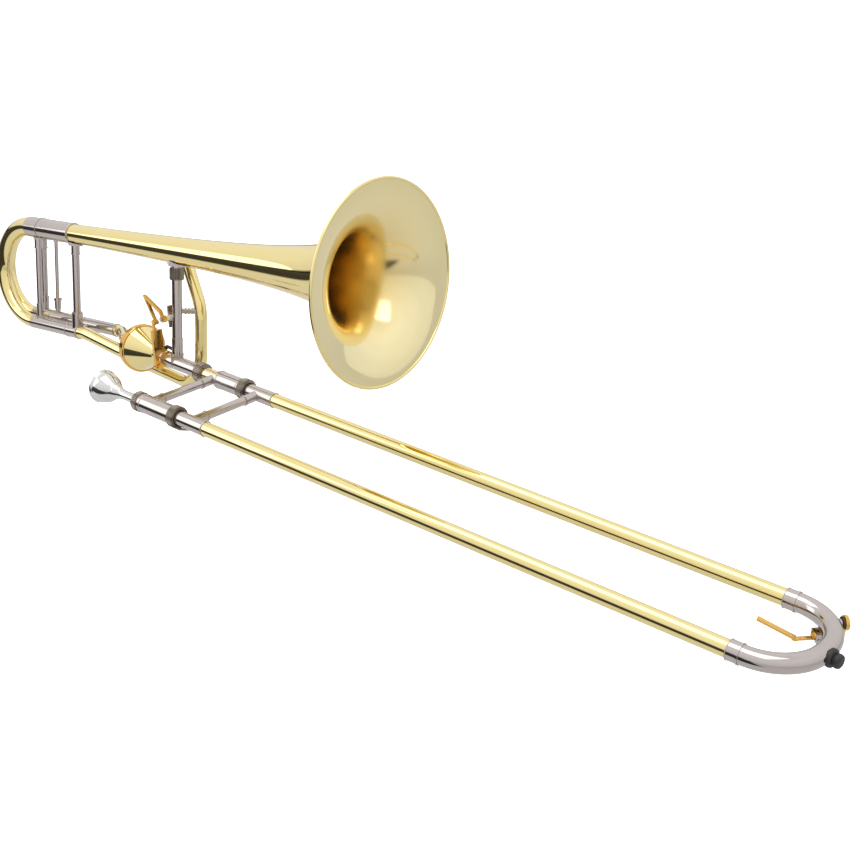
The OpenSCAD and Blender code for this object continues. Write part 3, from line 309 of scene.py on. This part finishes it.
nodeFinish = {
    "brassLacquer": ["bell", "bell_rim_wire", "valve_inlet_tube", "tuning_crook", "loop_crook",
                     "loop_upper_tube",
                     "loop_lower_tube", "loop_port_tube", "valve_casing", "outer_tubes"],
    "nickelSilver": ["neck_sleeve", "lower_sleeve", "rear_bell_brace", "main_bell_brace", "bell_flange",
                     "gooseneck",
                     "tuning_upper_leg", "tuning_lower_leg", "tuning_brace", "loop_ferrules",
                     "loop_slide_brace",
                     "loop_sleeves", "sleeve_rod", "cross_ties", "loop_tie", "port_ferrules", "cork_barrels",
                     "inner_brace", "mouthpiece_receiver", "outer_sleeves", "outer_brace",
                     "bow_ferrules", "bow", "key_saddle"],
    "knurledNickel": ["brace_collar", "bell_lock_nut", "receiver_ring", "bell_side_ring", "slide_lock_ring"],
    "goldLacquer": ["valve_ring", "port_plate", "axle_bush", "rotor_crank", "link_bar", "trigger_lever",
                    "water_key"],
    "chromedTube": ["lower_inner_leg", "loop_slide_legs", "rotor", "inner_tubes"],
    "receiverBrass": ["bell_receiver"],
    "silverPlate": ["mouthpiece"],
    "mouldedRubber": ["bow_bumper"],
    "feltPad": ["stop_bumpers", "key_pad"],
    "corkRing": ["slide_corks"],
    "turnedSteel": ["trigger_saddle", "trigger_pin", "key_pin"],
    "springWire": ["trigger_spring"],
}
for name, members in nodeFinish.items():
    for member in members:
        mesh = nodes[member].data
        mesh.materials.clear()
        mesh.materials.append(finish[name])
print("finishes on:", sum(len(members) for members in nodeFinish.values()), "nodes")


# Brings a mesh in millimetres to its place, finishes it and hands it to the frame.
def finishPiece(name, mesh, matrix, materials, body, smoothAngle=35.0, replaced=()):
    bmesh.ops.transform(mesh, matrix=Matrix.Diagonal((mm, mm, mm, 1)), verts=mesh.verts)
    bmesh.ops.transform(mesh, matrix=matrix, verts=mesh.verts)
    limit = math.radians(smoothAngle)
    for face in mesh.faces:
        face.smooth = True
    for edge in mesh.edges:
        edge.smooth = len(edge.link_faces) == 2 and edge.calc_face_angle(0.0) < limit
    data = bpy.data.meshes.new(name)
    mesh.to_mesh(data)
    mesh.free()
    for material in materials:
        data.materials.append(finish[material])
    piece = bpy.data.objects.new(name, data)
    bpy.context.scene.collection.objects.link(piece)
    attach(piece, body)
    if replaced:
        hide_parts(*replaced)
    return piece


# A shape turned about X from (x, radius) points; closed joins the last point to the first.
def turnedMesh(points, steps=96, closed=True):
    mesh = bmesh.new()
    verts = [mesh.verts.new((x, 0.0, radius)) for x, radius in points]
    edges = [mesh.edges.new(pair) for pair in zip(verts, verts[1:])]
    if closed:
        edges.append(mesh.edges.new((verts[-1], verts[0])))
    bmesh.ops.spin(mesh, geom=verts + edges, cent=(0, 0, 0), axis=(1, 0, 0), angle=math.tau,
                   steps=steps, use_merge=True)
    bmesh.ops.remove_doubles(mesh, verts=mesh.verts, dist=0.0005)
    bmesh.ops.recalc_face_normals(mesh, faces=mesh.faces)
    return mesh


# A tube that follows the stations, each (point, direction, radius), with a wall.
def sweptMesh(stations, sides=40, wall=0.8):
    mesh = bmesh.new()
    first = stations[0]
    turnTo = Vector((0, 0, 1)).rotation_difference(first[1])
    bmesh.ops.create_circle(mesh, cap_ends=False, radius=first[2], segments=sides,
                                   matrix=Matrix.Translation(first[0]) @ turnTo.to_matrix().to_4x4())
    edges = [edge for edge in mesh.edges]
    for before, after in zip(stations, stations[1:]):
        made = bmesh.ops.extrude_edge_only(mesh, edges=edges)["geom"]
        verts = [item for item in made if isinstance(item, bmesh.types.BMVert)]
        edges = [item for item in made if isinstance(item, bmesh.types.BMEdge)]
        turn = before[1].rotation_difference(after[1]).to_matrix().to_4x4()
        grow = Matrix.Scale(after[2] / before[2], 4)
        bmesh.ops.transform(
            mesh, verts=verts,
            matrix=Matrix.Translation(after[0]) @ turn @ grow @ Matrix.Translation(-before[0]))
    bmesh.ops.recalc_face_normals(mesh, faces=mesh.faces)
    if wall:
        bmesh.ops.solidify(mesh, geom=mesh.faces[:], thickness=wall)
    return mesh


bellShape = {"rimX": 377.2, "neckX": -127.7, "rimRadius": 108.0, "offset": 13.88, "power": 0.61, "wall": 0.9,
             "rimWire": 1.7, "rings": 90, "steps": 160}


def bellRadius(x):
    reach = (bellShape["rimX"] - x + bellShape["offset"]) / bellShape["offset"]
    return bellShape["rimRadius"] * reach ** -bellShape["power"]


def buildBell():
    count = bellShape["rings"]
    length = bellShape["rimX"] - bellShape["neckX"]
    along = [bellShape["rimX"] - length * (1 - i / count) ** 2 for i in range(count + 1)]
    wall, wire = bellShape["wall"], bellShape["rimWire"]
    outside = [(x, bellRadius(x)) for x in along if x < bellShape["rimX"] - 2 * wire]
    inside = []
    for x, radius in outside:
        slope = bellShape["power"] * radius / (bellShape["rimX"] - x + bellShape["offset"])
        norm = math.hypot(1, slope)
        inside.append((x + wall * slope / norm, radius - wall / norm))
    centre = (bellShape["rimX"] - wire, bellShape["rimRadius"] - wire)
    bead = [(centre[0] + wire * math.cos(math.radians(a)),
             centre[1] + wire * math.sin(math.radians(a))) for a in range(170, -100, -18)]
    mesh = turnedMesh(outside + bead + inside[::-1], bellShape["steps"])
    for face in mesh.faces:
        middle = face.calc_center_median()
        radial = Vector((0, middle.y, middle.z))
        face.material_index = 1 if face.normal.dot(radial) < 0 and middle.x < centre[0] else 0
    place = bellMatrix @ Matrix.Translation((0, 0, bellPlace["axisHeight"] * mm))
    return finishPiece("bellShell", mesh, place, ["brassLacquer", "bellInside"], "bell_section",
                       50, ("bell", "bell_rim_wire"))


buildBell()
print("bell built")


crookShape = {"centreX": -216.3, "spacing": 122.7, "topRadius": 12.0, "lowRadius": 7.95, "stations": 56,
              "wall": 0.8}


def buildCrook():
    reach = crookShape["spacing"] / 2
    stations = []
    for i in range(crookShape["stations"] + 1):
        t = i / crookShape["stations"]
        angle = math.radians(90 + 180 * t)
        point = Vector((crookShape["centreX"] + reach * math.cos(angle), 0,
                        bellPlace["axisHeight"] - reach + reach * math.sin(angle)))
        direction = Vector((-math.sin(angle), 0, math.cos(angle)))
        stations.append((point, direction,
                         crookShape["topRadius"] + (crookShape["lowRadius"] - crookShape["topRadius"]) * t))
    mesh = sweptMesh(stations, 48, crookShape["wall"])
    return finishPiece("tuningBend", mesh, bellMatrix, ["brassLacquer"], "main_tuning_slide",
                       50, ("tuning_crook",))


buildCrook()
print("tuning crook built")


# Rolled beads at the ends of the sleeves: place along the part, across, up, radius and wire.
beadTable = {
    "handBeads": {"body": "hand_slide", "slot": "nickel_silver", "matrix": slideMatrix, "rings": [
        (95.1, 0, 0, 8.4, 0.55), (95.1, -101.3, 0, 8.4, 0.55), (49.0, 0, 0, 8.4, 0.45), (705.4, 0, 0,
                                                                                         9.0, 0.5),
        (705.4, -101.3, 0, 9.0, 0.5)]},
    "innerBeads": {"body": "bell_section", "slot": "nickel_silver", "matrix": slideMatrix, "rings": [
        (9.0, 0, 0, 10.5, 0.5), (-2.0, -101.3, 0, 10.5, 0.5), (41.0, 0, 0, 10.5, 0.4)]},
    "sleeveBeads": {"body": "bell_section", "slot": "nickel_silver", "matrix": bellMatrix, "rings": [
        (-128.3, 0, 126.2, 12.9, 0.6), (-191.6, 0, 126.2, 12.9, 0.6), (-121.2, 0, 3.5, 8.7, 0.5),
        (-141.6, 0, 3.5, 8.7, 0.5),
        (-211.4, 26, 119, 7.9, 0.5), (-120.6, 26, 119, 7.9, 0.5), (-211.4, 26, 8.5, 7.9, 0.5), (-80.6,
                                                                                                26, 8.5,
                                                                                                7.9,
                                                                                                0.5)]},
}


def buildBeads(name, table):
    mesh = bmesh.new()
    for x, y, z, radius, wire in table["rings"]:
        profile = [(x + wire * math.cos(math.radians(a)),
                    radius + wire * math.sin(math.radians(a))) for a in range(0, 360, 30)]
        ring = turnedMesh(profile, 48)
        bmesh.ops.translate(ring, vec=(0, y, z), verts=ring.verts)
        data = bpy.data.meshes.new("bead")
        ring.to_mesh(data)
        ring.free()
        mesh.from_mesh(data)
        bpy.data.meshes.remove(data)
    return finishPiece(name, mesh, table["matrix"], ["nickelSilver"], table["body"], 60)


for name, table in beadTable.items():
    buildBeads(name, table)

mouthShape = {"rimX": -77.3, "rim": 19.3, "bowl": [(0.0, 0.6), (0.5, 2.0), (0.1, 3.6), (-1.1, 4.8),
                                                   (-1.4, 8.0), (-2.1, 12.0), (-3.6, 16.0), (-6.1,
                                                                                             20.0),
                                                   (-8.7, 23.0), (-10.1, 25.0)],
              "shank": [(-9.9, 25.6), (-9.9, 26.8), (-10.9, 28.2), (-12.4, 33.0), (-13.3, 39.0), (-13.3,
                                                                                                  44.0),
                        (-13.15, 58.8), (-13.0, 59.8), (-13.25, 80.3)],
              "cup": [(3.9, 80.3), (3.6, 36.0), (3.6, 28.0), (5.0, 24.0), (8.6, 17.0), (11.0, 10.0),
                      (12.4, 4.0), (13.2, 1.6), (14.6, 0.0)]}


# Rounds a run of points off so that a turned shape has no corners.
def smoothRun(points, steps=5):
    padded = [points[0]] + points + [points[-1]]
    rounded = []
    for a, b, c, d in zip(padded, padded[1:], padded[2:], padded[3:]):
        for i in range(steps):
            t = i / steps
            rounded.append(tuple(
                0.5 * (2 * q + (r - p) * t + (2 * p - 5 * q + 4 * r - s) * t * t
                       + (3 * q - p - 3 * r + s) * t ** 3)
                for p, q, r, s in zip(a, b, c, d)))
    rounded.append(points[-1])
    return rounded


def buildMouthpiece():
    rimX, rim = mouthShape["rimX"], mouthShape["rim"]
    bowl = smoothRun([(rimX, rim - 2.4)] + [(rimX + x, rim - 0.5 + r) for r, x in mouthShape["bowl"]])
    shank = [(rimX + x, rim - 0.5 + r) for r, x in mouthShape["shank"]]
    cup = smoothRun([(rimX + x, r) for r, x in mouthShape["cup"]])
    mesh = turnedMesh(bowl + shank + cup, 96)
    return finishPiece("mouthpieceTurned", mesh, nearMatrix, ["silverPlate"], "mouthpiece_piece",
                       40, ("mouthpiece",))


buildMouthpiece()
print("mouthpiece built")

springShape = {"hingeAt": 38.0, "drop": 12.5, "radius": 2.3, "wire": 0.4, "turns": 4, "from": -3.4,
               "to": 3.4, "steps": 18}


def buildSpring():
    stations = []
    count = springShape["turns"] * springShape["steps"]
    for i in range(count + 1):
        angle = math.tau * i / springShape["steps"]
        along = springShape["from"] + (springShape["to"] - springShape["from"]) * i / count
        point = Vector((springShape["hingeAt"] + springShape["radius"] * math.cos(angle), along,
                        -springShape["drop"] + springShape["radius"] * math.sin(angle)))
        direction = Vector((-math.sin(angle), 0.12, math.cos(angle))).normalized()
        stations.append((point, direction, springShape["wire"]))
    mesh = sweptMesh(stations, 10, 0)
    return finishPiece("keySpring", mesh, keyMatrix, ["springWire"], "hand_slide", 60)


buildSpring()

bumperShape = {"seat": 54.6, "tip": 64.6}


def buildBumper():
    seat, tip = bumperShape["seat"], bumperShape["tip"]
    profile = [(seat - 1, 0.0), (seat - 1, 8.0), (seat + 1.2, 8.3), (seat + 1.8, 8.2), (seat + 3.0,
                                                                                        7.7),
               (seat + 3.4, 7.2), (seat + 3.7, 4.8),
               (seat + 4.4, 4.5), (seat + 4.8, 5.7), (seat + 5.4, 6.2), (seat + 7.0, 6.3), (tip - 1.6,
                                                                                            6.0),
               (tip - 0.7, 5.5), (tip - 0.1, 4.3), (tip, 0.0)]
    mesh = turnedMesh(profile, 64, False)
    return finishPiece("bumperTurned", mesh, bumperMatrix, ["mouldedRubber"], "hand_slide",
                       40, ("bow_bumper",))


buildBumper()
print("beads, spring and bumper built")


# floorReflected, darkFrom and darkUpTo set the floor's painted reflection, which only reflection rays see.
studio = {"floorDrop": 0.30, "floorSize": 60.0, "floorGlow": 0.6, "floorReflected": 0.62,
          "darkFrom": (-0.62, -0.80), "darkUpTo": (1.1, 0.85), "worldStrength": 1.0,
          "skyLevels": [(0.0, 0.86), (0.15, 0.90), (0.45, 1.0), (0.75, 1.08), (1.0, 1.0)],
          "darkSkyFrom": (-0.12, -0.30), "darkSkyUnder": (0.09, 0.02), "darkSky": (0.02, 0.02, 0.02, 1)}

softboxes = {
    "topSoftbox": {"place": (0.1, -0.3, 2.2), "target": (0.15, 0, 0), "width": 2.6, "depth": 1.6,
                   "power": 18.0},
    "leftSoftbox": {"place": (-1.6, -1.4, 1.0), "target": (0.1, 0, 0), "width": 1.0, "depth": 1.6,
                    "power": 6.0},
}


def buildFloor():
    low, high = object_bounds()
    mesh = bmesh.new()
    bmesh.ops.create_grid(mesh, x_segments=1, y_segments=1, size=studio["floorSize"] / 2)
    bmesh.ops.translate(mesh, vec=(0.3, 0, low.z - studio["floorDrop"]), verts=mesh.verts)
    data = bpy.data.meshes.new("studioFloor")
    mesh.to_mesh(data)
    mesh.free()
    floor = bpy.data.objects.new("studioFloor", data)
    bpy.context.scene.collection.objects.link(floor)
    material, tree, shader, vector = newMaterial("paleFloor")
    light = tree.nodes.new("ShaderNodeLightPath")
    tone = mixColour(tree, rangeNode(tree, noiseNode(tree, vector, 3.0, 2.0), 0.3, 0.7), (0.93, 0.93,
                                                                                          0.93, 1),
                     (0.95, 0.95, 0.95, 1))
    # Painted reflection: reflection rays see the floor as a dimmer grey with a near-black patch in front of
    # the object, at low Y and low X, which paints dark bands into the metal's reflections; the camera sees
    # the even pale floor.
    split = tree.nodes.new("ShaderNodeSeparateXYZ")
    tree.links.new(vector, split.inputs[0])
    near = rangeNode(tree, split.outputs["Y"], *studio["darkFrom"])
    left = rangeNode(tree, split.outputs["X"], *studio["darkUpTo"])
    paintedReflectionLevel = rangeNode(tree, mathNode(tree, "MULTIPLY", near, left), 0.0, 1.0, studio["floorReflected"], 0.02)
    paintedReflectionGrey = mixColour(tree, paintedReflectionLevel, (0, 0, 0, 1), (1, 1, 1, 1))
    tree.links.new(mixColour(tree, light.outputs["Is Camera Ray"], paintedReflectionGrey, tone), shader.inputs["Base Color"])
    shader.inputs["Roughness"].default_value = 0.8
    shader.inputs["Specular IOR Level"].default_value = 0.1
    shader.inputs["Emission Strength"].default_value = 1.0
    tree.links.new(mixColour(tree, light.outputs["Is Camera Ray"], (0, 0, 0, 1),
                             (*[studio["floorGlow"]] * 3, 1)), shader.inputs["Emission Color"])
    data.materials.append(material)


def buildWorld():
    world = bpy.data.worlds.new("studioWorld")
    bpy.context.scene.world = world
    world.use_nodes = True
    tree = world.node_tree
    tree.nodes.clear()
    coords = tree.nodes.new("ShaderNodeTexCoord")
    split = tree.nodes.new("ShaderNodeSeparateXYZ")
    tree.links.new(coords.outputs["Generated"], split.inputs[0])
    ramp = tree.nodes.new("ShaderNodeValToRGB")
    tree.links.new(split.outputs["Z"], ramp.inputs[0])
    ramp.color_ramp.interpolation = "EASE"
    stops = studio["skyLevels"]
    elements = ramp.color_ramp.elements
    while len(elements) < len(stops):
        elements.new(0.5)
    for element, (position, level) in zip(elements, stops):
        element.position = position
        element.color = (level, level, level, 1)
    away = rangeNode(tree, split.outputs["X"], *studio["darkSkyFrom"])
    low = rangeNode(tree, split.outputs["Z"], *studio["darkSkyUnder"])
    shade = mixColour(tree, mathNode(tree, "MULTIPLY", away, low), ramp.outputs[0], studio["darkSky"])
    background = tree.nodes.new("ShaderNodeBackground")
    background.inputs["Strength"].default_value = studio["worldStrength"]
    tree.links.new(shade, background.inputs["Color"])
    output = tree.nodes.new("ShaderNodeOutputWorld")
    tree.links.new(background.outputs[0], output.inputs["Surface"])


def addSoftbox(name, place, target, width, depth, power):
    light = bpy.data.lights.new(name, "AREA")
    light.shape = "RECTANGLE"
    light.size = width
    light.size_y = depth
    light.energy = power
    lamp = bpy.data.objects.new(name, light)
    bpy.context.scene.collection.objects.link(lamp)
    lamp.location = place
    lamp.rotation_euler = (Vector(target) - Vector(place)).to_track_quat("-Z", "Y").to_euler()


buildFloor()
buildWorld()
for name, look in softboxes.items():
    addSoftbox(name, **look)

viewpoint = {"place": (1.06473, -0.93503, 0.58983), "lens": 55.96,
             "right": (0.77082275, 0.63661277, 0.02358979), "down": (0.28269761, -0.3086422, -0.90819715),
             "ahead": (-0.57088909, 0.7067278, -0.41787733)}


def buildCamera():
    data = bpy.data.cameras.new("productCamera")
    data.lens = viewpoint["lens"]
    data.sensor_width = 36.0
    data.sensor_fit = "HORIZONTAL"
    data.clip_start = 0.01
    camera = bpy.data.objects.new("productCamera", data)
    bpy.context.scene.collection.objects.link(camera)
    right, down, ahead = (Vector(viewpoint[key]) for key in ("right", "down", "ahead"))
    turn = Matrix((right, -down, -ahead)).transposed().to_4x4()
    camera.matrix_world = Matrix.Translation(viewpoint["place"]) @ turn
    bpy.context.scene.camera = camera


buildCamera()
bpy.context.scene.view_settings.view_transform = "Standard"
print("studio ready")
